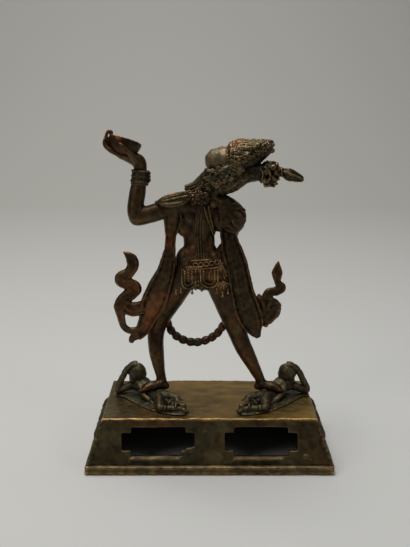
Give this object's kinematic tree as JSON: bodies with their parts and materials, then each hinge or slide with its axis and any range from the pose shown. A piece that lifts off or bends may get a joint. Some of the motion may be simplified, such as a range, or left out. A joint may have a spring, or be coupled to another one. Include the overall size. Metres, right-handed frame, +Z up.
{
  "type": "cast bronze dakini statuette on a hollow plinth",
  "caption": "Small bronze dakini striding on fallen figures, skull cup raised, scarves flying, on a hollow sloping plinth with stepped windows.",
  "frame": {"origin": "middle of the plinth's underside, on the surface it stands on", "axes": "+Z up, +X along the plinth, +Y the way the dakini's chest faces; the picture looks along +Y and shows the back"},
  "size_m": [0.1212, 0.0686, 0.163],
  "materials": {
    "plinth_bronze": "cast bronze, olive-brown patina, worn bright along the edges",
    "figure_bronze": "cast bronze, dark brown satin patina with green-grey hollows"
  },
  "bodies": {
    "root": {"plinth": "plinth_bronze", "dakini_figure": "figure_bronze"}
  },
  "joints": []
}
